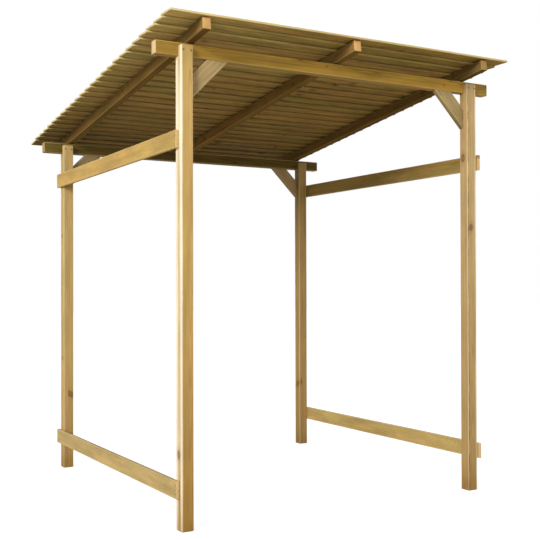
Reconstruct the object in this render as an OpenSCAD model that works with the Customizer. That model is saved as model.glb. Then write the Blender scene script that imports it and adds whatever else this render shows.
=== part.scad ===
// Open-sided log store: four notched posts, two beams with knee braces, side rails,
// three rafters and a lapped board roof that falls to the rear.
// Units are millimetres. X runs along the front from left to right, Y from front to rear, Z up.
// The origin is on the ground, at the middle of the whole outline seen from above.

/* [Frame] */
// Width over the outer faces of the posts
frame_width = 1592; // [1200:1:2000]
// Depth over the front and rear faces of the posts
frame_depth = 1634; // [1300:1:2000]
// Height of the rear posts
rear_post_height = 1794; // [1400:1:2200]
// How much taller the front posts are than the rear posts
roof_fall = 206; // [60:1:400]

/* [Posts] */
// Side of the square posts
post_size = 56; // [44:1:75]
// Thickness of the tongue left standing in front of the beam at each post top
post_tongue = 28; // [18:1:36]

/* [Beams] */
// Thickness of the beams, front to rear
beam_thickness = 45; // [36:1:60]
// Height of the beams
beam_height = 57; // [45:1:75]
// How far the beams run past the posts at each end
beam_overhang = 100; // [0:1:200]
// How far the beams stand up above the post tops
beam_above_post = 13; // [0:1:25]

/* [Braces] */
// Distance from the inner corner to the far edge of a brace, along the post and along the beam
brace_leg = 177; // [120:1:300]
// Width of the braces, square to their length
brace_width = 70; // [45:1:80]
// Thickness of the braces, front to rear
brace_thickness = 28; // [20:1:60]

/* [Side rails] */
// Thickness of the side rails
rail_thickness = 17; // [12:1:28]
// Height of the side rails
rail_height = 75; // [50:1:120]
// How much shorter the side rails are than the frame is deep
rail_shortfall = 7; // [-30:1:20]
// Distance from the front face of the posts back to the front ends of the left rails
left_rail_setback = 21; // [-20:1:30]
// The same distance for the right rails, which stand forward of the posts
right_rail_setback = -10; // [-20:1:30]
// Distance from the top of the rear posts down to the bottom edge of the upper rails
upper_rail_drop = 219; // [160:1:400]
// How far the left upper rail falls from front to rear
left_upper_rail_fall = 16; // [0:1:40]
// Height of the bottom edge of the left lower rail
left_lower_rail_height = 134; // [0:1:300]
// Height of the bottom edge of the right lower rail
right_lower_rail_height = 155; // [0:1:300]

/* [Rafters] */
// Width of the rafters
rafter_width = 40; // [30:1:60]
// Height of the rafters
rafter_height = 51; // [40:1:75]
// Distance from the outer face of the posts in to the outer face of the side rafters
rafter_inset = 38; // [0:1:100]
// Depth of the seat cut where a rafter bears on the rear edge of a beam
rafter_seat = 1.5; // [0.5:0.1:4]
// Level distance from the front face of the posts to the front ends of the rafters
rafter_front_overhang = 127; // [60:1:250]
// Level distance from the rear face of the posts to the rear ends of the rafters
rafter_rear_overhang = 205; // [100:1:350]

/* [Roof boards] */
// Width of a roof board
board_width = 100; // [80:1:150]
// Thickness of a roof board
board_thickness = 10; // [6:1:14]
// Least lap of a roof board over the one behind it, which sets how many there are
board_lap = 18; // [12:1:30]
// How far the roof boards run past the posts on the left
board_left_overhang = 106; // [20:1:200]
// How far the roof boards run past the posts on the right
board_right_overhang = 84; // [20:1:200]
// How far the front board runs past the front ends of the rafters
board_front_overhang = 14; // [0:1:30]
// How far the eave board runs past the rear ends of the rafters
board_rear_overhang = 40; // [10:1:60]

/* [Hidden] */
// Cuts run this far past the faces that they open
margin = 1;

// Posts and beams
front_post_height = rear_post_height + roof_fall;
half_width = frame_width / 2;
rear_post_y = frame_depth - post_size;
beam_rear = post_tongue + beam_thickness;
beam_drop = beam_height - beam_above_post;
beam_length = frame_width + 2 * beam_overhang;

// Rails
rail_length = frame_depth - rail_shortfall;
upper_rail_height = rear_post_height - upper_rail_drop;
left_upper_rail_tilt = asin(left_upper_rail_fall / rail_length);

// Rafters: their underside crosses the rear top edge of each beam, less the seat cut
side_rafter_x = half_width - rafter_inset - rafter_width / 2;
roof_angle = atan(roof_fall / rear_post_y);
rafter_front_z = front_post_height + beam_above_post - rafter_seat
    + (beam_rear + rafter_front_overhang) * tan(roof_angle);
rafter_length = (rafter_front_overhang + frame_depth + rafter_rear_overhang) / cos(roof_angle);

// Roof boards: the eave board lies flat, and each other one rests on the rafters at its front
// edge and on the board behind it
roof_length = rafter_length + board_front_overhang + board_rear_overhang;
board_count = 1 + ceil((roof_length - board_width) / (board_width - board_lap));
board_pitch = (roof_length - board_width) / (board_count - 1);
board_length = frame_width + board_left_overhang + board_right_overhang;

// Front edge of board i, measured down the slope from the front ends of the rafters
function board_start(i) = (board_count - i) * board_pitch - board_front_overhang;

// Tilt of board i from the rafters, at which it touches the front top edge of the board behind it
function board_tilt(i) =
    i == 1 ? 0 :
    let (behind = board_tilt(i - 1))
        atan2(board_thickness * cos(behind), board_pitch - board_thickness * sin(behind));

// Level distance behind the posts' front face of a point in the rafters' own axes
function level_y(along, up) =
    along * cos(roof_angle) + up * sin(roof_angle) - rafter_front_overhang;

// Outline seen from above, which sets the origin
left_edge = -half_width - max(beam_overhang, board_left_overhang);
right_edge = half_width + max(beam_overhang, board_right_overhang);
front_tilt = board_tilt(board_count);
front_edge = min(
    level_y(board_start(board_count), rafter_height),
    level_y(
        board_start(board_count) - board_thickness * sin(front_tilt),
        rafter_height + board_thickness * cos(front_tilt)
    )
);
rear_edge = level_y(board_start(1) + board_width, rafter_height + board_thickness);
plan_middle = [(left_edge + right_edge) / 2, (front_edge + rear_edge) / 2];

// Names of the pieces
function board_name(i) = str("roof_board_", i < 10 ? "0" : "", i);

// Moves a piece drawn with X from the middle of the frame and Y from the posts' front face to its
// place about the origin
module placed() {
    translate([-plan_middle.x, -plan_middle.y, 0]) children();
}

// Draws a piece in the rafters' own axes: Y down the slope, Z square to it, from the underside
module on_slope() {
    placed()
        translate([0, -rafter_front_overhang, rafter_front_z])
            rotate([-roof_angle, 0, 0])
                children();
}

// A square post whose top is notched behind its tongue to carry the beam
module post(side, y, height) {
    x = side < 0 ? -half_width : half_width - post_size;
    placed()
        translate([x, y, 0])
            difference() {
                cube([post_size, post_size, height]);
                translate([-margin, post_tongue, height - beam_drop])
                    cube([post_size + 2 * margin, post_size, beam_drop + margin]);
            }
}

module front_left_post() {
    color([0.80, 0.69, 0.44]) post(-1, 0, front_post_height);
}

module front_right_post() {
    color([0.79, 0.68, 0.49]) post(1, 0, front_post_height);
}

module rear_left_post() {
    color([0.66, 0.51, 0.29]) post(-1, rear_post_y, rear_post_height);
}

module rear_right_post() {
    color([0.58, 0.43, 0.26]) post(1, rear_post_y, rear_post_height);
}

// A beam lying in the notches of the two posts that stand at y
module beam(y, post_height) {
    placed()
        translate([-beam_length / 2, y + post_tongue, post_height - beam_drop])
            cube([beam_length, beam_thickness, beam_height]);
}

module front_beam() {
    color([0.58, 0.46, 0.20]) beam(0, front_post_height);
}

module rear_beam() {
    color([0.33, 0.26, 0.14]) beam(rear_post_y, rear_post_height);
}

// A knee brace from the inner face of a post up to the underside of the beam
module brace(side, y, post_height) {
    cut = brace_width * sqrt(2);
    placed()
        translate([side * (half_width - post_size), y + post_tongue, post_height - beam_drop])
            mirror([side < 0 ? 0 : 1, 0, 0])
                translate([0, brace_thickness, 0])
                    rotate([90, 0, 0])
                        linear_extrude(brace_thickness)
                            polygon([
                                [0, -brace_leg],
                                [brace_leg, 0],
                                [brace_leg - cut, 0],
                                [0, cut - brace_leg]
                            ]);
}

module front_left_brace() {
    color([0.70, 0.60, 0.42]) brace(-1, 0, front_post_height);
}

module front_right_brace() {
    color([0.67, 0.57, 0.39]) brace(1, 0, front_post_height);
}

module rear_left_brace() {
    color([0.42, 0.35, 0.22]) brace(-1, rear_post_y, rear_post_height);
}

module rear_right_brace() {
    color([0.43, 0.37, 0.25]) brace(1, rear_post_y, rear_post_height);
}

// A rail on the outer faces of the posts; tilt lowers its rear end
module rail(side, setback, height, tilt = 0) {
    x = side < 0 ? -half_width - rail_thickness : half_width;
    placed()
        translate([x, setback, height])
            rotate([-tilt, 0, 0])
                cube([rail_thickness, rail_length, rail_height]);
}

module left_upper_rail() {
    color([0.69, 0.55, 0.30])
        rail(-1, left_rail_setback, upper_rail_height, left_upper_rail_tilt);
}

module left_lower_rail() {
    color([0.68, 0.53, 0.29]) rail(-1, left_rail_setback, left_lower_rail_height);
}

module right_upper_rail() {
    color([0.50, 0.40, 0.22]) rail(1, right_rail_setback, upper_rail_height);
}

module right_lower_rail() {
    color([0.60, 0.48, 0.27]) rail(1, right_rail_setback, right_lower_rail_height);
}

// A rafter centred on x, with a shallow flat seat over each beam
module rafter(x) {
    difference() {
        on_slope()
            translate([x - rafter_width / 2, 0, 0])
                cube([rafter_width, rafter_length, rafter_height]);
        beam(0, front_post_height);
        beam(rear_post_y, rear_post_height);
    }
}

module left_rafter() {
    color([0.55, 0.42, 0.22]) rafter(-side_rafter_x);
}

module middle_rafter() {
    color([0.52, 0.41, 0.20]) rafter(0);
}

module right_rafter() {
    color([0.50, 0.40, 0.22]) rafter(side_rafter_x);
}

// Roof board i, counted from the eave: its rear edge laps over the board behind it
module roof_board(i) {
    color(i % 2 == 0 ? [0.47, 0.38, 0.20] : [0.45, 0.40, 0.25])
        on_slope()
            translate([-half_width - board_left_overhang, board_start(i), rafter_height])
                rotate([board_tilt(i), 0, 0])
                    cube([board_length, board_width, board_thickness]);
}

front_left_post();
front_right_post();
rear_left_post();
rear_right_post();
front_beam();
rear_beam();
front_left_brace();
front_right_brace();
rear_left_brace();
rear_right_brace();
left_upper_rail();
left_lower_rail();
right_upper_rail();
right_lower_rail();
left_rafter();
middle_rafter();
right_rafter();
for (i = [1 : board_count])
    roof_board(i);
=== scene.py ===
"""The log store's looks: every timber of the CAD frame is rebuilt with eased arrises and its own
grain, and the screws are added. Units are metres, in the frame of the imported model."""

import math
import random
from dataclasses import dataclass, field

import bpy
import numpy as np
from mathutils import Matrix, Vector
from mathutils.bvhtree import BVHTree


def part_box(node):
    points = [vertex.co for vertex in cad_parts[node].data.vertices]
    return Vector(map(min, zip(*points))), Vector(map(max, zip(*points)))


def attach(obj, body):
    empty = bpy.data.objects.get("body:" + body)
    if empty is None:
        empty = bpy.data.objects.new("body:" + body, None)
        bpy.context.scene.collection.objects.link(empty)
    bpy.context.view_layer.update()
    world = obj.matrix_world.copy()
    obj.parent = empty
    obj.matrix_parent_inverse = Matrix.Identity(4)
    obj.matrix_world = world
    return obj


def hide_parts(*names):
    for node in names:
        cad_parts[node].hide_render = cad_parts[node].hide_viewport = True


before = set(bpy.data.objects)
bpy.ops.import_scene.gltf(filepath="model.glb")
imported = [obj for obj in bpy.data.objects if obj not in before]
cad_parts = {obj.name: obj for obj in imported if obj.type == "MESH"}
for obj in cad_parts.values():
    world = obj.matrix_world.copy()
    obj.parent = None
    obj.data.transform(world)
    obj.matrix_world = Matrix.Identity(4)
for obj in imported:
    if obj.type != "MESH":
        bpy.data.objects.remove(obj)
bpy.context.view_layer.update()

SEED = 7
BODY = "root"

# --- Timber finish -----------------------------------------------------------------------------

STATION_GAP = 0.075           # between sections along a timber
FEWEST_STATIONS = 3
RIM_STATION = 0.3             # share of a rounded end at which one more section lies
CORNER_STEPS = 3              # facets round an arris
SIDE_SUPPORT = 0.0025         # from an arris to the point that keeps the side flat
THIN_SUPPORT = 1 / 3          # the most that may be of half the thickness
STEP_GAP = 2e-5               # half the gap between the two sections of a step, as a share
TONGUE_KEPT = 0.008           # depth of the tongue that a notch leaves as it is
WANDER_ROOM = 2.5             # how much thinner than the CAD a timber is, in its own wanders
WAVES = (1, 2, 3, 5)          # the waves along a timber that add up to its wander
WAVE_WEIGHTS = (0.4, 1.0)
WAVE_STRETCH = 0.7            # so that a timber's two ends don't match
PARALLEL = 0.999              # cosine above which two face directions are one
SQUARE = 0.1                  # cosine below which two face directions are square
END_FACING = 0.5              # cosine above which a face looks along the timber
END_GRAIN = 0.6               # the same, for the faces that show end grain
FLUSH = 1e-6                  # how much further out a face must lie to be taken for the end
SHARP_TURN = 50               # degrees at which shading breaks
TREE_LENGTH = 50              # of the imagined tree that each timber is cut from
PITH_ASIDE = (0.3, 1)         # shares of the distance to the pith, across the timber
PITH_BELOW = (0.7, 1.2)       # and through it
DAMP_POWER = 1.6              # how fast damp fades up a post
FOOT_POWER = 22               # and the dirt right at its foot
END_LIGHT_POWER = 2.5               # how fast the painted light on a timber's first end fades


@dataclass
class Look:
    """How one kind of timber is made: its material, the radius of its arrises, how far it wanders
    from straight, the distance from its middle to the pith of the tree as (width, thickness), and
    whether its narrow faces are as pale as its arrises."""

    slot: str
    ease: float
    wander: float
    pith: tuple
    pale_edges: bool = False


@dataclass
class Tone:
    """The colour of one timber: lightness, how green or pink it is, and how dark its streaks are.
    bleach is how pale it is, as faded wood and as painted light, damp is how dark its foot is,
    and ends is how much its cut ends show their own colour and stains instead of the timber's
    lightness. pith is where the pith lies from the timber's middle, in the frame. check is how open
    a drying crack is, and check_side is the way it opens. edges is how pale its arrises are, as
    scuffing and as painted highlight, and sunned is painted light: how much lighter and paler its
    first end is than its last. light, bleach and sunned were matched to how bright each timber is
    in the photo, so they hold some of the shade there: the lightness is partly painted shade."""

    light: float = 1.0
    green: float = 0.5
    streak: float = 0.5
    bleach_and_light: float = 0.0
    damp: float = 0.0
    ends: float = 1.0
    pith: tuple = None
    check: float = 0.0
    check_side: tuple = (0.0, -1.0, 0.0)
    edges: float = 1.0
    painted_end_light: float = 0.0


POST = Look("post_wood", 0.0035, 0.0004, (0.012, 0.020))
BEAM = Look("beam_wood", 0.0030, 0.0004, (0.020, 0.045))
BRACE = Look("brace_wood", 0.0020, 0.0003, (0.030, 0.060))
RAIL = Look("rail_wood", 0.0012, 0.0005, (0.015, 0.055))
RAFTER = Look("rafter_wood", 0.0030, 0.0005, (0.010, 0.035))
BOARD = Look("board_wood", 0.0008, 0.0006, (0.020, 0.050), pale_edges=True)


# --- Timber geometry ---------------------------------------------------------------------------

@dataclass
class Stick:
    """A CAD timber measured in its own axes: X along it, Y across its width, Z through it."""

    name: str
    axes: Matrix
    low: Vector
    high: Vector
    start: tuple
    end: tuple
    size: Vector = field(init=False)

    def __post_init__(self):
        self.size = self.high - self.low

    def world(self):
        """The matrix from the timber's own axes, with the origin at its middle, to the frame."""
        middle = self.axes @ ((self.low + self.high) / 2)
        return Matrix.Translation(middle) @ self.axes.to_4x4()


def face_groups(mesh):
    """The mesh's face directions, largest area first, as (normal, area)."""
    groups = []
    for face in mesh.polygons:
        for group in groups:
            if abs(group[0].dot(face.normal)) > PARALLEL:
                group[1] += face.area
                break
        else:
            groups.append([face.normal.copy(), face.area])
    return sorted(groups, key=lambda group: -group[1])


def end_cut(mesh, along, side):
    """The plane that cuts the timber off at one end, as (normal, distance from the origin)."""
    best = None
    for face in mesh.polygons:
        lean = face.normal.dot(along) * side
        if lean < END_FACING:
            continue
        reach = face.center.dot(along) * side
        if best is None or reach > best[0] + FLUSH:
            best = (reach, face.normal.copy(), face.normal.dot(face.center))
    return best[1], best[2]


def measure(name):
    """Measures a CAD node whose four long faces are its largest."""
    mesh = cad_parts[name].data
    groups = face_groups(mesh)
    broad = groups[0][0]
    narrow = next(normal for normal, _ in groups if abs(normal.dot(broad)) < SQUARE)
    along = broad.cross(narrow).normalized()
    points = [v.co for v in mesh.vertices]
    spans = {
        axis: max(p.dot(direction) for p in points) - min(p.dot(direction) for p in points)
        for axis, direction in (("along", along), ("broad", broad), ("narrow", narrow))
    }
    thin, wide = (broad, narrow) if spans["broad"] <= spans["narrow"] else (narrow, broad)
    along = upright(along)
    thin = upright(thin)
    wide = thin.cross(along).normalized()
    axes = Matrix((along, wide, thin)).transposed()
    local = [axes.transposed() @ p for p in points]
    low = Vector(min(p[i] for p in local) for i in range(3))
    high = Vector(max(p[i] for p in local) for i in range(3))
    return Stick(name, axes, low, high, end_cut(mesh, along, -1), end_cut(mesh, along, 1))


def upright(direction):
    """The direction or its opposite, whichever has its largest component positive."""
    largest = max(direction, key=abs)
    return direction.normalized() * (1 if largest > 0 else -1)


def section(width, thickness, look):
    """A rounded rectangle as a loop of (y, z) points, with a support point beside each arris, and
    how pale each point is, as scuffing and as painted highlight."""
    half_w, half_t = width / 2, thickness / 2
    ease = look.ease
    pale = 1.0 if look.pale_edges else 0.0
    points, worn_and_lit = [], []
    for corner in range(4):
        turn = corner * math.pi / 2
        sign_y = 1 if corner in (0, 3) else -1
        sign_z = 1 if corner in (0, 1) else -1
        centre = (sign_y * (half_w - ease), sign_z * (half_t - ease))
        arc = [turn + math.pi / 2 * step / CORNER_STEPS for step in range(CORNER_STEPS + 1)]
        rim = [(centre[0] + ease * math.cos(a), centre[1] + ease * math.sin(a)) for a in arc]
        support = min(SIDE_SUPPORT, half_t * THIN_SUPPORT)
        before = (math.sin(arc[0]) * support, -math.cos(arc[0]) * support)
        after = (-math.sin(arc[-1]) * support, math.cos(arc[-1]) * support)
        points.append((rim[0][0] + before[0], rim[0][1] + before[1]))
        points += rim
        points.append((rim[-1][0] + after[0], rim[-1][1] + after[1]))
        narrow_first = corner % 2 == 0
        worn_and_lit += [pale if narrow_first else 0.0] + [1.0] * len(rim) + [0.0 if narrow_first else pale]
    return np.array(points), np.array(worn_and_lit)


@dataclass
class Notch:
    """The notch in a post's top: from this share of its length up, the section stops at the
    tongue. across is the section's axis that runs from front to rear, 0 for Y and 1 for Z."""

    share: float
    across: int
    sign: float
    front: float
    tongue: float
    rear: float

    @classmethod
    def behind_tongue(cls, post, beam):
        """The notch of a post that carries the named beam behind its tongue."""
        beam_low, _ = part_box(beam)
        to_rear = post.axes.transposed() @ Vector((0, 1, 0))
        across = 0 if abs(to_rear.y) > abs(to_rear.z) else 1
        sign = to_rear[across + 1]
        half = post.size[across + 1] / 2
        post_low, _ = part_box(post.name)
        tongue = beam_low.y - post_low.y
        return cls(beam_low.z / post.size.x, across, sign, -half, tongue - half, half)

    def cut(self, outline):
        """The outline with all that lies behind the front arrises drawn in to the tongue."""
        cut = outline.copy()
        depth = cut[:, self.across] * self.sign
        keep = self.front + TONGUE_KEPT
        squeeze = (self.tongue - keep) / (self.rear - keep)
        drawn = np.where(depth < keep, depth, keep + (depth - keep) * squeeze)
        cut[:, self.across] = self.sign * drawn
        return cut


def smooth_noise(rng, count):
    """A slow random curve from -1 to 1 with as many values as there are stations."""
    waves = [(rng.uniform(*WAVE_WEIGHTS) / k, rng.uniform(0, 2 * math.pi), k) for k in WAVES]
    total = sum(weight for weight, _, _ in waves)
    steps = np.linspace(0, 2 * math.pi, count)
    return sum(w * np.sin(steps * k * WAVE_STRETCH + phase) for w, phase, k in waves) / total


def stations(length, ease, steps):
    """Shares of the length at which the section is placed, with a rounded rim at each end and a
    pair of stations at each step, where the section changes at once."""
    count = max(FEWEST_STATIONS, round(length / STATION_GAP))
    rim = ease / length
    inner = np.linspace(rim, 1 - rim, count)
    pairs = [share + side * STEP_GAP for share in steps for side in (-1, 1)]
    ends = [0, rim * RIM_STATION, 1 - rim * RIM_STATION, 1]
    return np.sort(np.concatenate((ends, inner, pairs)))


def rim_inset(share, length, ease):
    """How far the section is drawn in at a share of the length, to round the rim of the ends."""
    depth = min(share, 1 - share) * length
    if depth >= ease:
        return 0.0
    return ease - math.sqrt(ease ** 2 - (ease - depth) ** 2)


def cut_at(stick, cut, y, z):
    """Where a line along the timber at (y, z) from its middle meets one of its end cuts."""
    normal, distance = cut
    local = stick.axes.transposed() @ normal
    middle = (stick.low + stick.high) / 2
    across = (y + middle.y) * local.y + (z + middle.z) * local.z
    return (distance - across) / local.x - middle.x


def loft(stick, look, rng, notch, trim):
    """Rings of points from one end of the timber to the other, in its own axes, and how pale each
    point is, as scuffing and as painted highlight. trim is how far it stops short of its two ends."""
    length, width, thickness = stick.size
    base, worn_and_lit = section(width, thickness, look)
    shares = stations(length, look.ease, [notch.share] if notch else [])
    bow_y = smooth_noise(rng, len(shares)) * look.wander
    bow_z = smooth_noise(rng, len(shares)) * look.wander
    twist = smooth_noise(rng, len(shares)) * look.wander / width
    shrink = 1 - WANDER_ROOM * look.wander / np.array([width, thickness])
    rings, wear_and_light = [], []
    for i, share in enumerate(shares):
        inset = rim_inset(share, length, look.ease)
        wear_and_light.append(np.maximum(worn_and_lit, 1.0 if inset > 0 else 0.0))
        scale = shrink * (1 - 2 * inset / np.array([width, thickness]))
        outline = notch.cut(base) if notch and share > notch.share else base
        y, z = (outline * scale).T
        turned_y = y - twist[i] * z + bow_y[i]
        turned_z = z + twist[i] * y + bow_z[i]
        ring = []
        for py, pz in zip(turned_y, turned_z):
            first = cut_at(stick, stick.start, py, pz) + trim[0]
            last = cut_at(stick, stick.end, py, pz) - trim[1]
            ring.append((first + (last - first) * share, py, pz))
        rings.append(ring)
    return np.array(rings), np.array(wear_and_light)


def skin(rings):
    """The faces between rings, and the two caps, as lists of point numbers."""
    count, around = rings.shape[:2]
    faces = []
    for i in range(count - 1):
        for j in range(around):
            k = (j + 1) % around
            here, ahead = i * around, (i + 1) * around
            faces.append((here + j, here + k, ahead + k, ahead + j))
    faces.append(tuple(reversed(range(around))))
    faces.append(tuple((count - 1) * around + j for j in range(around)))
    return faces


def store(mesh, name, kind, domain, key, values):
    """Stores one value for each point or face corner of the mesh."""
    data = mesh.attributes.new(name, kind, domain).data
    data.foreach_set(key, np.asarray(values, dtype=float).ravel())


def paint_grain(mesh, stick, look, tone, rng, wear_and_light):
    """Stores where each point lies in its tree, how scuffed, damp and pale it is, partly as painted
    light and highlight, and the timber's own tone, for the material."""
    count = len(mesh.vertices)
    points = np.empty(count * 3)
    mesh.vertices.foreach_get("co", points)
    points = points.reshape(-1, 3)
    if tone.pith:
        local = stick.axes.transposed() @ Vector(tone.pith)
        pith = (-local.y, -local.z)
    else:
        pith = (look.pith[0] * rng.uniform(*PITH_ASIDE) * rng.choice((-1, 1)),
                look.pith[1] * rng.uniform(*PITH_BELOW) * rng.choice((-1, 1)))
    start = rng.uniform(0, TREE_LENGTH)
    store(mesh, "grain", "FLOAT_VECTOR", "POINT", "vector", points + np.array([start, *pith]))
    height = np.clip(points[:, 0] / stick.size.x + 0.5, 0, 1)
    # Painted light: the first end is made lighter, and paler through bleach, than the last.
    painted_end_light = tone.painted_end_light * (1 - height) ** END_LIGHT_POWER
    light = tone.light * (1 + painted_end_light)
    tones = []
    for face in mesh.polygons:
        end = tone.ends if abs(face.normal.x) > END_GRAIN else 0.0
        tones += [(light[point], tone.green, tone.streak, end) for point in face.vertices]
    store(mesh, "tone", "FLOAT_COLOR", "CORNER", "color", tones)
    store(mesh, "seed", "FLOAT", "POINT", "value", [rng.random()] * count)
    damp = tone.damp * ((1 - height) ** DAMP_POWER + (1 - height) ** FOOT_POWER)
    bleach_and_light = tone.bleach_and_light + painted_end_light
    worn_and_lit = np.stack((wear_and_light.ravel() * tone.edges, damp, bleach_and_light), axis=1)
    store(mesh, "wear_and_light", "FLOAT_VECTOR", "POINT", "vector", worn_and_lit)
    side = (stick.axes.transposed() @ Vector(tone.check_side)).yz.normalized()
    check = [(side.x, side.y, tone.check)] * count
    store(mesh, "check", "FLOAT_VECTOR", "POINT", "vector", check)


def rounded(mesh):
    """Shades the mesh smooth, with a crisp line only at sharp turns."""
    mesh.shade_smooth()
    mesh.set_sharp_from_angle(angle=math.radians(SHARP_TURN))


def add_piece(name, mesh, slot, *nodes):
    """Puts a finished mesh into the scene as a piece of the object."""
    piece = bpy.data.objects.new(name, mesh)
    bpy.context.scene.collection.objects.link(piece)
    if slot:
        mesh.materials.append(MATERIALS[slot])
    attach(piece, BODY)
    if nodes:
        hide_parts(*nodes)


SURFACES = {}    # each timber's own surface, for the screws to lie on


def timber(name, look, tone, notch_for=None, trim=(0.0, 0.0)):
    """Rebuilds the CAD node as an eased timber that lies in its place. notch_for names the beam
    that lies in the notch at its far end."""
    stick = measure(name)
    rng = random.Random(f"{SEED} {name}")
    notch = Notch.behind_tongue(stick, notch_for) if notch_for else None
    rings, wear_and_light = loft(stick, look, rng, notch, trim)
    mesh = bpy.data.meshes.new(name + "_timber")
    mesh.from_pydata([tuple(p) for p in rings.reshape(-1, 3)], [], skin(rings))
    paint_grain(mesh, stick, look, tone, rng, wear_and_light)
    mesh.transform(stick.world())
    mesh.update()
    rounded(mesh)
    points = [v.co for v in mesh.vertices]
    SURFACES[name] = BVHTree.FromPolygons(points, [p.vertices for p in mesh.polygons])
    add_piece(name + "_timber", mesh, look.slot, name)


# --- Node graphs -------------------------------------------------------------------------------

def srgb(red, green, blue):
    """A colour given as it looks on screen, 0 to 255, as linear light."""
    def linear(value):
        value /= 255
        return value / 12.92 if value <= 0.04045 else ((value + 0.055) / 1.055) ** 2.4
    return (linear(red), linear(green), linear(blue), 1.0)


class Graph:
    """A node tree, built by calls that each return an output socket."""

    def __init__(self, tree):
        self.tree = tree
        self.tree.nodes.clear()

    def node(self, kind, inputs, **settings):
        """A node with these settings. inputs gives a value or a socket for each input socket."""
        node = self.tree.nodes.new(kind)
        for key, value in settings.items():
            setattr(node, key, value)
        for key, value in inputs.items():
            if isinstance(value, bpy.types.NodeSocket):
                self.tree.links.new(value, node.inputs[key])
            elif value is not None:
                node.inputs[key].default_value = value
        return node

    def math(self, operation, a, b=None, c=None, clamp=False):
        """The result of an operation on up to three values."""
        inputs = {0: a, 1: b, 2: c}
        return self.node("ShaderNodeMath", inputs, operation=operation, use_clamp=clamp).outputs[0]

    def plus(self, a, b, clamp=False):
        """a + b, kept from 0 to 1 if clamp is set."""
        return self.math("ADD", a, b, clamp=clamp)

    def minus(self, a, b):
        """a - b."""
        return self.math("SUBTRACT", a, b)

    def times(self, a, b):
        """a * b."""
        return self.math("MULTIPLY", a, b)

    def times_plus(self, a, b, c):
        """a * b + c."""
        return self.math("MULTIPLY_ADD", a, b, c)

    def over(self, a, b):
        """a / b."""
        return self.math("DIVIDE", a, b)

    def far(self, a, b):
        """How far the point (a, b) lies from the origin."""
        return self.math("SQRT", self.plus(self.times(a, a), self.times(b, b)))

    def step(self, value, low, high, to_low=0.0, to_high=1.0):
        """A smooth change from to_low to to_high as the value goes from low to high."""
        inputs = {"Value": value, 1: low, 2: high, 3: to_low, 4: to_high}
        return self.node("ShaderNodeMapRange", inputs, interpolation_type="SMOOTHSTEP").outputs[0]

    def scaled(self, vector, scale):
        """The vector times a scale for each of its parts."""
        inputs = {0: vector, 1: scale}
        return self.node("ShaderNodeVectorMath", inputs, operation="MULTIPLY").outputs[0]

    def moved(self, vector, by):
        """The sum of the vector and another."""
        return self.node("ShaderNodeVectorMath", {0: vector, 1: by}, operation="ADD").outputs[0]

    def split(self, vector):
        """The three parts of a vector or a colour."""
        return self.node("ShaderNodeSeparateXYZ", {0: vector}).outputs

    def joined(self, x, y, z):
        """A vector of these three parts."""
        return self.node("ShaderNodeCombineXYZ", {0: x, 1: y, 2: z}).outputs[0]

    def mix(self, factor, a, b, blend="MIX"):
        """Colour a where the factor is 0, and blended with colour b where it is 1."""
        settings = {"data_type": "RGBA", "blend_type": blend}
        return self.node("ShaderNodeMix", {0: factor, 6: a, 7: b}, **settings).outputs[2]

    def tinted(self, factor, colour, tint):
        """The colour where the factor is 0, and the colour times the tint where it is 1."""
        return self.mix(factor, colour, self.mix(1.0, colour, tint, "MULTIPLY"))

    def noise(self, vector, detail, roughness=0.5):
        """Noise from 0 to 1 about 0.5, and its colour, as (value, colour)."""
        inputs = {"Vector": vector, "Scale": 1.0, "Detail": detail, "Roughness": roughness}
        return self.node("ShaderNodeTexNoise", inputs).outputs

    def random(self, value):
        """A random number for each whole number."""
        inputs = {"W": value}
        return self.node("ShaderNodeTexWhiteNoise", inputs, noise_dimensions="1D").outputs[0]

    def attribute(self, name):
        """The node that reads one of the mesh's attributes."""
        return self.node("ShaderNodeAttribute", {}, attribute_name=name)


def new_material(name):
    """A material with an empty graph, as (material, graph)."""
    material = bpy.data.materials.new(name)
    material.use_nodes = True
    return material, Graph(material.node_tree)


# --- Wood --------------------------------------------------------------------------------------

@dataclass
class Wood:
    """A timber's colours as they look on screen, and the strength of its marks. streak, patch and
    fibre are how often those marks repeat in a metre, along the grain and across it."""

    early: tuple                    # the pale part of a growth ring
    late: tuple                     # its dark part
    green: tuple                    # the two tints that the wood drifts between
    pink: tuple
    end: tuple                      # a cut end
    ring: float = 0.0034            # the width of a growth ring
    rings: float = 0.55             # how dark the late wood is
    sap: float = 0.0                # from the pith to the sapwood, or 0 if none shows
    pale: tuple = (228, 214, 170)   # worn and bleached wood, sapwood, and painted light on arrises and first ends
    stain: tuple = (228, 150, 100)  # the marks on a cut end
    worn_and_lit: tuple = (0.20, 0.60)      # how pale an arris is, at least and at most, as wear and as painted highlight
    streaks: float = 0.5            # how dark the streaks are
    streak: tuple = (1.1, 120)
    patch: tuple = (1.7, 9)         # patches of another tint
    patches: float = 1.5            # how strong they are
    mottle: float = 0.08            # how light and dark the broad blotches are
    fibre: tuple = (9, 620)
    fibres: float = 0.07            # how light and dark the fibres are
    knots: float = 0.5              # the share of places for a knot that have one
    sawn: float = 0.0               # how high the saw marks stand
    gloss: float = 0.25
    roughness: float = 0.62


@dataclass
class Branches:
    """A set of branches: how far apart they leave the pith, the radius of the thickest, what share
    of the timber's knots they get, and a shift that sets them apart from other sets."""

    spacing: float
    radius: float
    share: float
    shift: float


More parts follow.
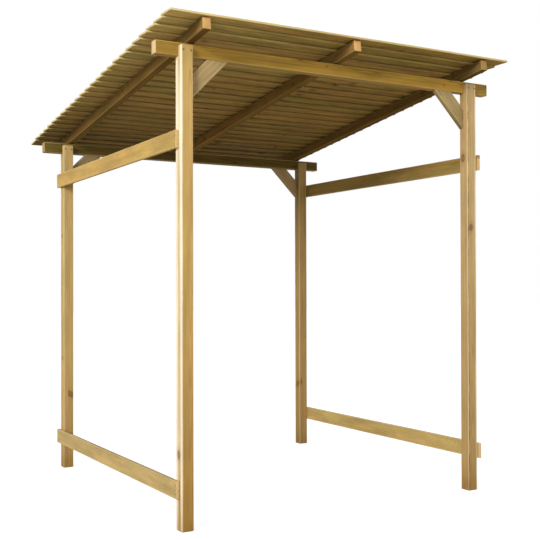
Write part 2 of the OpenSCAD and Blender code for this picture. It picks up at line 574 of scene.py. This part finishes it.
MAIN_BRANCHES = Branches(0.42, 0.012, 1.0, 0.0)
SMALL_BRANCHES = Branches(0.23, 0.006, 0.8, 31.0)
SEED_STRIDE = 97                # branches that the seed shifts a timber by
THINNEST = 0.4                  # radius of the thinnest branch, in that of the thickest
BRANCH_SLOPE = 0.35             # how steeply a branch climbs
KNOT_SQUASH = 0.7               # a knot's width across the grain, in its length
KNOT_START = 0.006              # from the pith to a knot that is whole
NO_KNOT = 9                     # radii that a missing knot counts as further off
KNOT_HEART = srgb(128, 82, 44)
KNOT_RIM = srgb(74, 48, 28)
HEART_EDGE = (0.75, 1.0)        # in the knot's radii, like the next three
RIM_INNER = (0.7, 0.95)
RIM_OUTER = (1.0, 1.35)
HALO = (1.0, 3.2)
HEART_SHOWS = 0.6
RIM_SHOWS = 0.55
HALO_SHOWS = 0.22

CRACK = srgb(46, 36, 26)
CRACK_WAVES = 6                 # how often in a metre it wavers
CRACK_WAVER = 0.003             # and how far
CRACK_GAPES = 14                # how often in a metre it opens and closes
CRACK_OPENS = (0.36, 0.60)      # the noise at which it does
CRACK_WIDTH = (0.0004, 0.0019)  # half its width, closed and open
CRACK_CORE = 0.3                # the share of that which is fully dark
CRACK_START = 0.004             # from the pith to where it is fully dark
CRACK_SLICES = (4.0, 9.0)       # places in the noise that set its waver and its gape apart

PITH_WAVES = 0.9                # how often in a metre the pith wanders
PITH_WANDER = 0.05              # and how far
RIPPLE = (3, 40)                # how often in a metre the rings ripple, along and across
RIPPLE_DEPTH = 0.0035
KNOT_BULGE = 0.006              # how far rings bend round a knot
LATE_RISE = (0.35, 0.88)        # shares of a ring in which late wood comes
LATE_FALL = (0.9, 1.0)          # and goes
FAINTEST_RING = 0.45
END_RINGS = 0.35                # how much darker rings are on a cut end
BLOTCH = (4.5, 22)              # how often in a metre blotches come, along and across
BLOTCH_SHIFT = (9, 2, 5)        # places in the noise that set blotches and patches apart
PATCH_SHIFT = (3, 7, 1)
TINT_SHOWS = 0.6
STREAK_NOISE = (0.46, 0.72)     # the noise at which streaks come
FIBRE_NOISE = (0.2, 0.8)
BLOTCH_NOISE = (0.25, 0.75)
SAP_BLUR = 0.006                # how far the sapwood's edge ripples and fades
SAP_SHOWS = 0.85
SAP_DRY = 0.65                  # how much less damp shows on sapwood
END_SHOWS = 0.75
STAIN_NOISE = (0.42, 0.62)
STAIN_SHOWS = 0.55
WORN_AND_LIT_NOISE = (0.3, 0.7)
DAMP_TINT = srgb(204, 190, 164)

LATE_HEIGHT = -0.35             # heights of the relief, in RELIEF
FIBRE_HEIGHT = 0.8
KNOT_HEIGHT = 0.8
CRACK_HEIGHT = -3.0
RELIEF = 0.0004
RELIEF_STRENGTH = 0.5
SAW = (330, 14)                 # how often in a metre saw marks come, along and across
LATE_SMOOTHER = -0.1
ROUGH_SPREAD = 0.15


def knot(graph, x, y, z, seed, branches, chance):
    """How far the nearest branch of a set is, in its own radii. One leaves the pith in each
    stretch of about the spacing, if its chance allows."""
    shift = graph.times_plus(seed, SEED_STRIDE, branches.shift)
    place = graph.times_plus(x, 1 / branches.spacing, shift)
    cell = graph.node("ShaderNodeTexVoronoi", {"W": place, "Scale": 1.0}, voronoi_dimensions="1D")
    angle, girth, pick = graph.split(cell.outputs["Color"])
    along = graph.times(graph.minus(place, cell.outputs["W"]), branches.spacing)
    angle = graph.times(angle, 2 * math.pi)
    cos, sin = graph.math("COSINE", angle), graph.math("SINE", angle)
    across = graph.minus(graph.times(y, sin), graph.times(z, cos))
    out = graph.plus(graph.times(y, cos), graph.times(z, sin))
    lean = graph.times_plus(along, KNOT_SQUASH, graph.times(out, BRANCH_SLOPE))
    size = graph.step(girth, 0, 1, branches.radius * THINNEST, branches.radius)
    distance = graph.over(graph.far(lean, across), size)
    picked = graph.math("LESS_THAN", pick, chance * branches.share)
    there = graph.times(picked, graph.step(out, 0.0, KNOT_START))
    return graph.plus(distance, graph.times(graph.minus(1, there), NO_KNOT))


def drying_crack(graph, x, y, z):
    """A dark split that runs from the pith to one face, opening and closing along the timber."""
    side_y, side_z, strength = graph.split(graph.attribute("check").outputs["Vector"])
    out = graph.plus(graph.times(y, side_y), graph.times(z, side_z))
    across = graph.minus(graph.times(y, side_z), graph.times(z, side_y))
    waver_place = graph.joined(graph.times(x, CRACK_WAVES), strength, CRACK_SLICES[0])
    waver = graph.noise(waver_place, detail=2.0)[0]
    across = graph.plus(across, graph.times_plus(waver, CRACK_WAVER, -CRACK_WAVER / 2))
    gape_place = graph.joined(graph.times(x, CRACK_GAPES), strength, CRACK_SLICES[1])
    gape = graph.noise(gape_place, detail=3.0)[0]
    width = graph.step(gape, *CRACK_OPENS, *CRACK_WIDTH)
    core = graph.times(width, CRACK_CORE)
    dark = graph.step(graph.math("ABSOLUTE", across), core, width, 1.0, 0.0)
    return graph.times(graph.times(dark, strength), graph.step(out, 0.0, CRACK_START))


def late_wood(graph, y, z, ripple, nearest, ring):
    """How far each place is into the dark part of its growth ring. Rings bend round knots."""
    radius = graph.times_plus(ripple, RIPPLE_DEPTH, graph.far(y, z))
    bulge = graph.over(KNOT_BULGE, graph.plus(1, graph.math("POWER", nearest, 2)))
    phase = graph.over(graph.plus(radius, bulge), ring)
    share = graph.math("FRACT", phase)
    late = graph.times(graph.step(share, *LATE_RISE), graph.step(share, *LATE_FALL, 1.0, 0.0))
    number = graph.math("FLOOR", phase)
    return graph.times(late, graph.step(graph.random(number), 0, 1, FAINTEST_RING, 1))


def wood(name, kind):
    """Softwood with growth rings about the pith, knots, fibres and saw marks, all in the tree's
    own coordinates, so that faces, edges and end grain of a timber agree."""
    material, graph = new_material(name)
    grain = graph.attribute("grain").outputs["Vector"]
    seed = graph.attribute("seed").outputs["Fac"]
    tone = graph.attribute("tone").outputs
    light, greenness, streaky = graph.split(tone["Color"])
    end = tone["Alpha"]
    worn_and_lit, damp, bleach_and_light = graph.split(graph.attribute("wear_and_light").outputs["Vector"])

    def marks(often, detail, roughness=0.5, shift=None):
        """Noise that repeats this often in a metre, along the grain and across it."""
        along, across = often
        place = graph.scaled(grain, (along, across, across))
        if shift:
            place = graph.moved(place, shift)
        return graph.noise(place, detail, roughness)[0]

    x, y, z = graph.split(grain)
    crack = drying_crack(graph, x, y, z)
    from_pith = graph.far(y, z)
    drift = graph.noise(graph.joined(graph.times(x, PITH_WAVES), seed, 0.0), detail=1.0)[1]
    drift_y, drift_z, _ = graph.split(drift)
    y = graph.times_plus(graph.minus(drift_y, 0.5), PITH_WANDER, y)
    z = graph.times_plus(graph.minus(drift_z, 0.5), PITH_WANDER, z)
    main = knot(graph, x, y, z, seed, MAIN_BRANCHES, kind.knots)
    small = knot(graph, x, y, z, seed, SMALL_BRANCHES, kind.knots)
    nearest = graph.math("MINIMUM", main, small)
    ripple = marks(RIPPLE, detail=2.0)
    late = late_wood(graph, y, z, ripple, nearest, kind.ring)
    fibre = marks(kind.fibre, detail=2.0, roughness=0.6)
    streak = marks(kind.streak, detail=3.0, roughness=0.65)
    patch = marks(kind.patch, detail=3.0, shift=PATCH_SHIFT)
    blotch = marks(BLOTCH, detail=3.0, shift=BLOTCH_SHIFT)
    late_colour, pale = srgb(*kind.late), srgb(*kind.pale)

    ring_shows = graph.times(late, graph.times_plus(end, END_RINGS, kind.rings))
    colour = graph.mix(ring_shows, srgb(*kind.early), late_colour)
    patchy = graph.times(graph.minus(patch, 0.5), kind.patches)
    hue = graph.plus(greenness, patchy, clamp=True)
    colour = graph.tinted(TINT_SHOWS, colour, graph.mix(hue, srgb(*kind.pink), srgb(*kind.green)))
    streaky = graph.times(streaky, kind.streaks)
    streaked = graph.times(graph.step(streak, *STREAK_NOISE), streaky)
    colour = graph.tinted(streaked, colour, late_colour)
    # Faded wood, and the painted light on a timber's first end, make it paler here.
    colour = graph.mix(bleach_and_light, colour, pale)
    if kind.sap:
        edge = graph.times_plus(ripple, SAP_BLUR, from_pith)
        sapwood = graph.step(edge, kind.sap, kind.sap + SAP_BLUR, 0.0, SAP_SHOWS)
        colour = graph.mix(sapwood, colour, pale)
        damp = graph.times(damp, graph.times_plus(sapwood, -SAP_DRY, 1))
    shade = graph.times(graph.step(fibre, *FIBRE_NOISE, 1 - kind.fibres, 1 + kind.fibres),
                        graph.step(blotch, *BLOTCH_NOISE, 1 - kind.mottle, 1 + kind.mottle))
    # The timber's lightness scales the colour here, and it is partly painted shade.
    level = graph.times(shade, light)
    colour = graph.mix(1.0, colour, graph.joined(level, level, level), "MULTIPLY")
    # A cut end shows its end-grain colour as far as ends allows; the rest keeps the timber's
    # lightness, with its painted shade.
    colour = graph.mix(graph.times(end, END_SHOWS), colour, srgb(*kind.end))
    stained = graph.times(end, graph.step(blotch, *STAIN_NOISE, 0.0, STAIN_SHOWS))
    colour = graph.mix(stained, colour, srgb(*kind.stain))
    # Pale arrises: wear, and a painted highlight where eased edges catch the light.
    rubbed_and_lit = graph.times(worn_and_lit, graph.step(streak, *WORN_AND_LIT_NOISE, *kind.worn_and_lit))
    colour = graph.mix(rubbed_and_lit, colour, pale)
    heart = graph.step(nearest, *HEART_EDGE, 1.0, 0.0)
    rim = graph.times(graph.step(nearest, *RIM_INNER), graph.step(nearest, *RIM_OUTER, 1.0, 0.0))
    colour = graph.mix(graph.times(heart, HEART_SHOWS), colour, KNOT_HEART)
    colour = graph.mix(graph.times(rim, RIM_SHOWS), colour, KNOT_RIM)
    colour = graph.tinted(graph.step(nearest, *HALO, HALO_SHOWS, 0.0), colour, late_colour)
    colour = graph.tinted(damp, colour, DAMP_TINT)
    colour = graph.mix(crack, colour, CRACK)

    height = graph.times_plus(late, LATE_HEIGHT, graph.times(fibre, FIBRE_HEIGHT))
    height = graph.times_plus(heart, KNOT_HEIGHT, height)
    height = graph.times_plus(crack, CRACK_HEIGHT, height)
    if kind.sawn:
        height = graph.times_plus(marks(SAW, detail=1.0), kind.sawn, height)
    bump = {"Strength": RELIEF_STRENGTH, "Distance": RELIEF, "Height": height}
    rough = graph.step(blotch, 0, 1, kind.roughness, kind.roughness + ROUGH_SPREAD)
    shader = graph.node("ShaderNodeBsdfPrincipled", {
        "Base Color": colour,
        "Roughness": graph.times_plus(late, LATE_SMOOTHER, rough),
        "Specular IOR Level": kind.gloss,
        "Normal": graph.node("ShaderNodeBump", bump).outputs[0],
    })
    graph.node("ShaderNodeOutputMaterial", {0: shader.outputs[0]})
    return material


MATERIALS = {
    "post_wood": wood("post_wood", Wood(
        early=(216, 188, 128), late=(182, 144, 84), green=(212, 212, 150), pink=(240, 212, 190),
        end=(214, 186, 140), rings=0.45, knots=0.4, sap=0.044, pale=(248, 238, 214),
        worn_and_lit=(0.05, 0.3), mottle=0.10, gloss=0.15)),
    "beam_wood": wood("beam_wood", Wood(
        early=(190, 160, 82), late=(134, 102, 44), green=(190, 194, 112), pink=(230, 192, 130),
        end=(230, 208, 180), rings=0.7, knots=0.9, pale=(206, 180, 110), patch=(2.4, 18),
        patches=2.2, mottle=0.18, gloss=0.15)),
    "brace_wood": wood("brace_wood", Wood(
        early=(194, 174, 136), late=(152, 126, 88), green=(198, 198, 145), pink=(226, 202, 172),
        end=(200, 170, 125), rings=0.5, knots=0.3, worn_and_lit=(0.05, 0.3), gloss=0.10)),
    "rail_wood": wood("rail_wood", Wood(
        early=(206, 178, 116), late=(170, 138, 76), green=(206, 206, 135), pink=(236, 206, 150),
        end=(196, 156, 104), rings=0.4, knots=0.35, sawn=0.9, pale=(222, 200, 150),
        fibre=(160, 260), stain=(206, 142, 90), fibres=0.22, gloss=0.12, patch=(3.0, 22),
        patches=1.8, mottle=0.17)),
    "rafter_wood": wood("rafter_wood", Wood(
        early=(188, 160, 106), late=(140, 112, 72), green=(184, 188, 122), pink=(222, 182, 140),
        end=(232, 187, 121), rings=0.55, knots=0.45, pale=(190, 160, 100), stain=(234, 148, 96),
        worn_and_lit=(0.1, 0.4), patch=(2.4, 18), patches=2.0, mottle=0.16, gloss=0.0)),
    "board_wood": wood("board_wood", Wood(
        early=(196, 172, 108), late=(124, 96, 54), green=(184, 196, 124), pink=(222, 174, 120),
        end=(206, 194, 142), rings=0.6, knots=0.6, sawn=1.0, roughness=0.7, pale=(216, 206, 150),
        stain=(190, 165, 110), worn_and_lit=(0.15, 0.75), streaks=1.0, streak=(3.2, 150), patch=(3.4, 34),
        patches=3.2, mottle=0.20, fibres=0.12, gloss=0.03)),
}


# --- The timbers -------------------------------------------------------------------------------

def build_frame():
    """Every timber below the roof boards, each with its own tone, whose lightness is partly painted
    shade, most of all in the rear beam and the rafters. The rear beam lies in shade in the photo
    and is darkened to match it, so the real wood is probably lighter than this. Its paler left
    end is painted light."""
    timber("front_left_post", POST, Tone(1.0, 0.5, 0.4, damp=1.0, pith=(0.016, -0.004, 0)),
           notch_for="front_beam")
    timber("front_right_post", POST,
           Tone(0.77, 0.35, 0.5, bleach_and_light=0.1, damp=0.6, pith=(-0.004, 0.009, 0),
                check=1.0, check_side=(-0.45, -0.89, 0)),
           notch_for="front_beam")
    timber("rear_left_post", POST, Tone(0.88, 0.7, 0.6, bleach_and_light=0.05, damp=0.6),
           notch_for="rear_beam")
    timber("rear_right_post", POST, Tone(0.60, 0.4, 0.8, damp=0.4), notch_for="rear_beam")
    timber("front_beam", BEAM, Tone(1.0, 0.4, 0.6))
    timber("rear_beam", BEAM, Tone(0.27, 0.75, 0.8, ends=0.15, painted_end_light=0.15))
    timber("front_left_brace", BRACE, Tone(1.05, 0.45, 0.7))
    timber("front_right_brace", BRACE, Tone(0.95, 0.8, 0.5))
    timber("rear_left_brace", BRACE, Tone(0.62, 0.4, 0.5))
    timber("rear_right_brace", BRACE, Tone(0.85, 0.4, 0.7))
    timber("left_upper_rail", RAIL, Tone(0.96, 0.38, 0.4, bleach_and_light=0.05, ends=0.4))
    timber("left_lower_rail", RAIL, Tone(0.75, 0.6, 0.5, bleach_and_light=0.35, ends=0.2))
    timber("right_upper_rail", RAIL, Tone(0.60, 0.55, 0.7))
    timber("right_lower_rail", RAIL, Tone(0.81, 0.6, 0.5, bleach_and_light=0.2))
    timber("left_rafter", RAFTER, Tone(0.61, 0.45, 0.8))
    timber("middle_rafter", RAFTER, Tone(0.66, 0.5, 0.6))
    timber("right_rafter", RAFTER, Tone(0.48, 0.6, 0.6, ends=0.15))


# Each of these three gives the value at the eave, and what the rise towards the front adds to it.
# The last number goes with the square of the rise. The lightness is painted shade, darker towards
# the eave under the roof, and the paleness of the boards' first ends is painted light.
BOARD_LIGHT_AND_SHADE = (0.52, 0.80, -0.2)
BOARD_GREEN = (0.5, 0.5)
BOARD_END_LIGHT = (0.03, 0.27)
BOARD_BLEACH_AND_LIGHT = 0.05             # at the front; faded wood and painted light
LIGHT_SPREAD = (0.88, 1.08)
GREEN_SPREAD = (0.0, 0.85)
STREAK_SPREAD = (0.4, 1.0)
SHADED_LAPPED_EDGES = 0.4              # how pale the arrises are on all but the front board, less than its, as painted shade from the board that laps over them
BOARD_RAGGED = 0.003            # how unevenly the boards are cut
LEFT_VERGE_DRIFT = 0.010        # how much shorter they get towards the eave, at the left
RIGHT_VERGE_STEP = 0.005        # how much shorter all but the front board are, at the right


def build_roof():
    """The roof boards, each with its own tone, darker towards the eave as in the photo: painted
    shade under the roof, with painted light at their left ends.
    """
    rng = random.Random(SEED)
    names = sorted(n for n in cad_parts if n.startswith("roof_board_"))
    for number, name in enumerate(names):
        rise = number / (len(names) - 1)
        front = name == names[-1]
        light = BOARD_LIGHT_AND_SHADE[0] + BOARD_LIGHT_AND_SHADE[1] * rise + BOARD_LIGHT_AND_SHADE[2] * rise ** 2
        light *= rng.uniform(*LIGHT_SPREAD)
        green = rng.uniform(*GREEN_SPREAD) * (BOARD_GREEN[0] + BOARD_GREEN[1] * rise)
        tone = Tone(light, green, rng.uniform(*STREAK_SPREAD),
                    bleach_and_light=BOARD_BLEACH_AND_LIGHT * rise,
                    edges=1.0 if front else SHADED_LAPPED_EDGES,
                    painted_end_light=BOARD_END_LIGHT[0] + BOARD_END_LIGHT[1] * rise)
        left = rng.uniform(0, BOARD_RAGGED) + LEFT_VERGE_DRIFT * (1 - rise)
        right = rng.uniform(0, BOARD_RAGGED) + (0.0 if front else RIGHT_VERGE_STEP)
        timber(name, BOARD, tone, trim=(left, right))


# --- Screws ------------------------------------------------------------------------------------

SCREW_RADIUS = 0.0040
SCREW_PROUD = 0.0004            # how high a head stands
SCREW_SIDES = 16
SCREW_SHADE_RING = 1.2                # radius of the painted shade round the head, in radii of the head
SHADE_RING_HEIGHT = 0.00001           # of the outside of that shaded ring above the timber
SEAT_HEIGHT = 0.00004           # and of its inside, at the head
RIM_WIDTH = 0.9                 # radius at which the head is flat, in its own
RIM_HEIGHT = 0.7                # height at which its side ends, in its own
STAR = 0.30                     # radius of the recess between its lobes, in that of the head
STAR_TAPER = 0.8                # size of the recess's floor, in that of its mouth
STAR_FLOOR = 0.2                # height of that floor, in the head's
RAY_START = 0.1                 # from how far outside the timber's surface is looked for
STEEL_COLOUR = srgb(150, 138, 112)
# Painted shade: the colour of the ring round each head and of its shallow recess.
SCREW_SHADE_COLOUR = srgb(62, 46, 30)

TONGUE_SCREWS = (-0.0165, 0.019)
TONGUE_SCREW_DROP = 0.022
RAIL_SCREWS = (0.27, 0.73)      # shares of the rail's height
BRACE_SCREW_INSET = 0.030
RAFTER_SCREW_RISE = 0.018
BOARD_SCREW_SETBACK = 0.030
RAFTERS = ("left_rafter", "middle_rafter", "right_rafter")


def plain_metal(name, colour, metallic, roughness):
    """A material that is the same all over."""
    material, graph = new_material(name)
    inputs = {"Base Color": colour, "Metallic": metallic, "Roughness": roughness}
    shader = graph.node("ShaderNodeBsdfPrincipled", inputs)
    graph.node("ShaderNodeOutputMaterial", {0: shader.outputs[0]})
    return material


class Screws:
    """Screw heads that are gathered into one mesh. Each lies on the timber's own surface, in a ring
    of painted shade, and the shallow recess in its head is painted dark as shade."""

    STEEL, DARK = 0, 1

    def __init__(self):
        self.points, self.faces, self.kinds = [], [], []

    def drive(self, owner, place, outward):
        """Adds a screw where the line through the place meets the outside of the owner."""
        outward = Vector(outward).normalized()
        start = Vector(place) + outward * RAY_START
        hit, normal, _, _ = SURFACES[owner].ray_cast(start, -outward)
        if normal.dot(outward) < 0:
            normal = -normal
        turn = normal.to_track_quat("Z", "Y").to_matrix()
        first = len(self.points)
        star = STAR * SCREW_RADIUS
        floor = star * STAR_TAPER
        # The dark faces are painted shade: the ring round the head, and the walls and floor of the
        # recess.
        rings = [
            (SCREW_RADIUS * SCREW_SHADE_RING, 0, SHADE_RING_HEIGHT, None),
            (SCREW_RADIUS, 0, SEAT_HEIGHT, self.DARK),
            (SCREW_RADIUS, 0, SCREW_PROUD * RIM_HEIGHT, self.STEEL),
            (SCREW_RADIUS * RIM_WIDTH, 0, SCREW_PROUD, self.STEEL),
            (star, star, SCREW_PROUD, self.STEEL),
            (floor, floor, SCREW_PROUD * STAR_FLOOR, self.DARK),
        ]
        for radius, lobe, height, _ in rings:
            for side in range(SCREW_SIDES):
                angle = 2 * math.pi * side / SCREW_SIDES
                reach = radius + lobe * abs(math.cos(2 * angle))
                point = Vector((reach * math.cos(angle), reach * math.sin(angle), height))
                self.points.append(hit + turn @ point)
        for number, (_, _, _, kind) in enumerate(rings[1:]):
            outer = first + number * SCREW_SIDES
            inner = outer + SCREW_SIDES
            for side in range(SCREW_SIDES):
                after = (side + 1) % SCREW_SIDES
                self.faces.append((outer + side, outer + after, inner + after, inner + side))
                self.kinds.append(kind)
        last = first + (len(rings) - 1) * SCREW_SIDES
        self.faces.append(tuple(last + side for side in range(SCREW_SIDES)))
        self.kinds.append(self.DARK)

    def finish(self, name):
        """Puts the gathered heads into the scene as one piece."""
        mesh = bpy.data.meshes.new(name)
        mesh.from_pydata([tuple(p) for p in self.points], [], self.faces)
        steel = plain_metal("screw_steel", STEEL_COLOUR, metallic=0.6, roughness=0.45)
        recess = plain_metal("screw_painted_shade", SCREW_SHADE_COLOUR, metallic=0.0, roughness=0.8)
        mesh.materials.append(steel)
        mesh.materials.append(recess)
        mesh.polygons.foreach_set("material_index", self.kinds)
        rounded(mesh)
        add_piece(name, mesh, None)


def middle(name):
    """The middle of a CAD node's box."""
    low, high = (Vector(corner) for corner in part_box(name))
    return (low + high) / 2


def add_screws():
    """The screws that hold the timbers together."""
    joints = Screws()
    for side, outward in (("left", -1), ("right", 1)):
        for end in ("front", "rear"):
            post = f"{end}_{side}_post"
            _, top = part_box(post)
            for offset in TONGUE_SCREWS:
                place = (middle(post).x + offset, middle(post).y, top.z - TONGUE_SCREW_DROP)
                joints.drive(post, place, (0, -1, 0))
            brace = measure(f"{end}_{side}_brace")
            along = Vector((-outward, 0, 1)).normalized()
            for way in (-1, 1):
                place = middle(brace.name) + along * way * (brace.size.x / 2 - BRACE_SCREW_INSET)
                joints.drive(brace.name, place, (-outward, 0, -1))
            for height in ("upper", "lower"):
                rail = f"{side}_{height}_rail"
                low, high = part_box(rail)
                for share in RAIL_SCREWS:
                    level = low.z + (high.z - low.z) * share
                    joints.drive(rail, (middle(rail).x, middle(post).y, level), (outward, 0, 0))
    for rafter in RAFTERS:
        for beam in ("front_beam", "rear_beam"):
            _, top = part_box(beam)
            for way in (-1, 1):
                place = (middle(rafter).x, middle(beam).y, top.z + RAFTER_SCREW_RISE)
                joints.drive(rafter, place, (way, 0, 0))
    joints.finish("frame_screws")

    roof = Screws()
    for name in (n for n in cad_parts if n.startswith("roof_board_")):
        board = measure(name)
        ahead = Vector(board.axes.col[1])
        ahead *= -1 if ahead.y > 0 else 1
        for rafter in RAFTERS:
            place = middle(name) + ahead * (board.size.y / 2 - BOARD_SCREW_SETBACK)
            place.x = middle(rafter).x
            roof.drive(name, place, board.axes.col[2])
    roof.finish("roof_screws")


# --- Stage, light and camera -------------------------------------------------------------------

CAMERA_PLACE = (-2.3695, -4.3626, 1.0072)
CAMERA_YAW = 29.77
CAMERA_PITCH = 0.54
CAMERA_ROLL = 0.16
CAMERA_LENS = 62.14
CAMERA_SENSOR = 36
CAMERA_SHIFT_Y = 0.0128
CAMERA_REACH = 200
FLOOR_SIZE = 60
FLOOR_GLOW = 0.85
FLOOR_PALE = (0.30, 0.30, 0.30, 1)    # the floor as the camera sees it
FLOOR_BOUNCE = (0.49, 0.44, 0.34, 1)  # and as it lights the timbers from below
SKY_COLOUR = (0.99, 0.99, 1.0, 1)
SKY_AHEAD = 0.58
SKY_BEHIND = 0.52
SKY_TOWARDS = (-0.78, -0.62)          # the way in which the sky is brighter, in X and Y
SKY_FADE = (-0.7, 0.9)                # how far that way the change begins and ends
WHITE = (1, 1, 1, 1)
SUNLIGHT = (1.0, 0.985, 0.955)
FILL_LIGHT = (1.0, 0.99, 0.97)


def add_camera():
    """The camera that took the photo, as far as the frame's corners give it."""
    data = bpy.data.cameras.new("camera")
    data.sensor_width = CAMERA_SENSOR
    data.lens = CAMERA_LENS
    data.shift_y = CAMERA_SHIFT_Y
    data.clip_end = CAMERA_REACH
    camera = bpy.data.objects.new("camera", data)
    turn = Matrix.Rotation(math.radians(-CAMERA_YAW), 4, "Z")
    tilt = Matrix.Rotation(math.radians(90 + CAMERA_PITCH), 4, "X")
    roll = Matrix.Rotation(math.radians(-CAMERA_ROLL), 4, "Z")
    camera.matrix_world = Matrix.Translation(CAMERA_PLACE) @ turn @ tilt @ roll
    bpy.context.scene.collection.objects.link(camera)
    bpy.context.scene.camera = camera


def seen_directly(graph):
    """1 for rays from the camera and for those that gloss or glass sends on, and 0 for the rest."""
    path = graph.node("ShaderNodeLightPath", {})
    straight = graph.math("MAXIMUM", path.outputs["Is Camera Ray"], path.outputs["Is Glossy Ray"])
    return graph.math("MAXIMUM", straight, path.outputs["Is Transmission Ray"])


def add_floor():
    """A floor that is white where it is seen, and the colour of pale ground where it lights the
    timbers."""
    mesh = bpy.data.meshes.new("floor")
    half = FLOOR_SIZE / 2
    corners = [(-half, -half, 0), (half, -half, 0), (half, half, 0), (-half, half, 0)]
    mesh.from_pydata(corners, [], [(0, 1, 2, 3)])
    floor = bpy.data.objects.new("floor", mesh)
    bpy.context.scene.collection.objects.link(floor)
    material, graph = new_material("pale_floor")
    seen = seen_directly(graph)
    pale = graph.node("ShaderNodeBsdfDiffuse", {0: FLOOR_PALE}).outputs[0]
    bounce = graph.node("ShaderNodeBsdfDiffuse", {0: FLOOR_BOUNCE}).outputs[0]
    glow = graph.node("ShaderNodeEmission", {0: WHITE, 1: FLOOR_GLOW}).outputs[0]
    bright = graph.node("ShaderNodeAddShader", {0: pale, 1: glow}).outputs[0]
    both = graph.node("ShaderNodeMixShader", {0: seen, 1: bounce, 2: bright}).outputs[0]
    graph.node("ShaderNodeOutputMaterial", {0: both})
    mesh.materials.append(material)


def add_world():
    """A pale sky that is brighter to the front left, and plain white where it is seen."""
    world = bpy.data.worlds.new("studio")
    world.use_nodes = True
    bpy.context.scene.world = world
    graph = Graph(world.node_tree)
    seen = seen_directly(graph)
    side_x, side_y, _ = graph.split(graph.node("ShaderNodeTexCoord", {}).outputs["Generated"])
    towards_x, towards_y = SKY_TOWARDS
    ahead = graph.times_plus(side_y, towards_y, graph.times(side_x, towards_x))
    level = graph.step(ahead, *SKY_FADE, SKY_BEHIND, SKY_AHEAD)
    lit = graph.node("ShaderNodeBackground", {0: SKY_COLOUR, 1: level}).outputs[0]
    white = graph.node("ShaderNodeBackground", {0: WHITE, 1: 1.0}).outputs[0]
    both = graph.node("ShaderNodeMixShader", {0: seen, 1: lit, 2: white}).outputs[0]
    graph.node("ShaderNodeOutputWorld", {0: both})


def add_sun(name, towards, strength, spread, colour):
    """A soft lamp. towards is the way from the object to the lamp, and spread is how wide the
    lamp looks from there, in degrees."""
    data = bpy.data.lights.new(name, "SUN")
    data.energy = strength
    data.angle = math.radians(spread)
    data.color = colour
    lamp = bpy.data.objects.new(name, data)
    lamp.rotation_euler = Vector(towards).to_track_quat("Z", "Y").to_euler()
    bpy.context.scene.collection.objects.link(lamp)


def add_stage():
    """The world, the floor, the lamps and the camera."""
    scene = bpy.context.scene
    scene.view_settings.view_transform = "Standard"
    add_world()
    add_floor()
    add_sun("key", (-0.80, -0.50, 0.36), strength=2.6, spread=20, colour=SUNLIGHT)
    add_sun("fill", (-0.35, -0.93, 0.06), strength=0.6, spread=16, colour=FILL_LIGHT)
    add_sun("far_side", (0.95, 0.28, 0.12), strength=0.9, spread=20, colour=SUNLIGHT)
    add_camera()


build_frame()
build_roof()
add_screws()
add_stage()
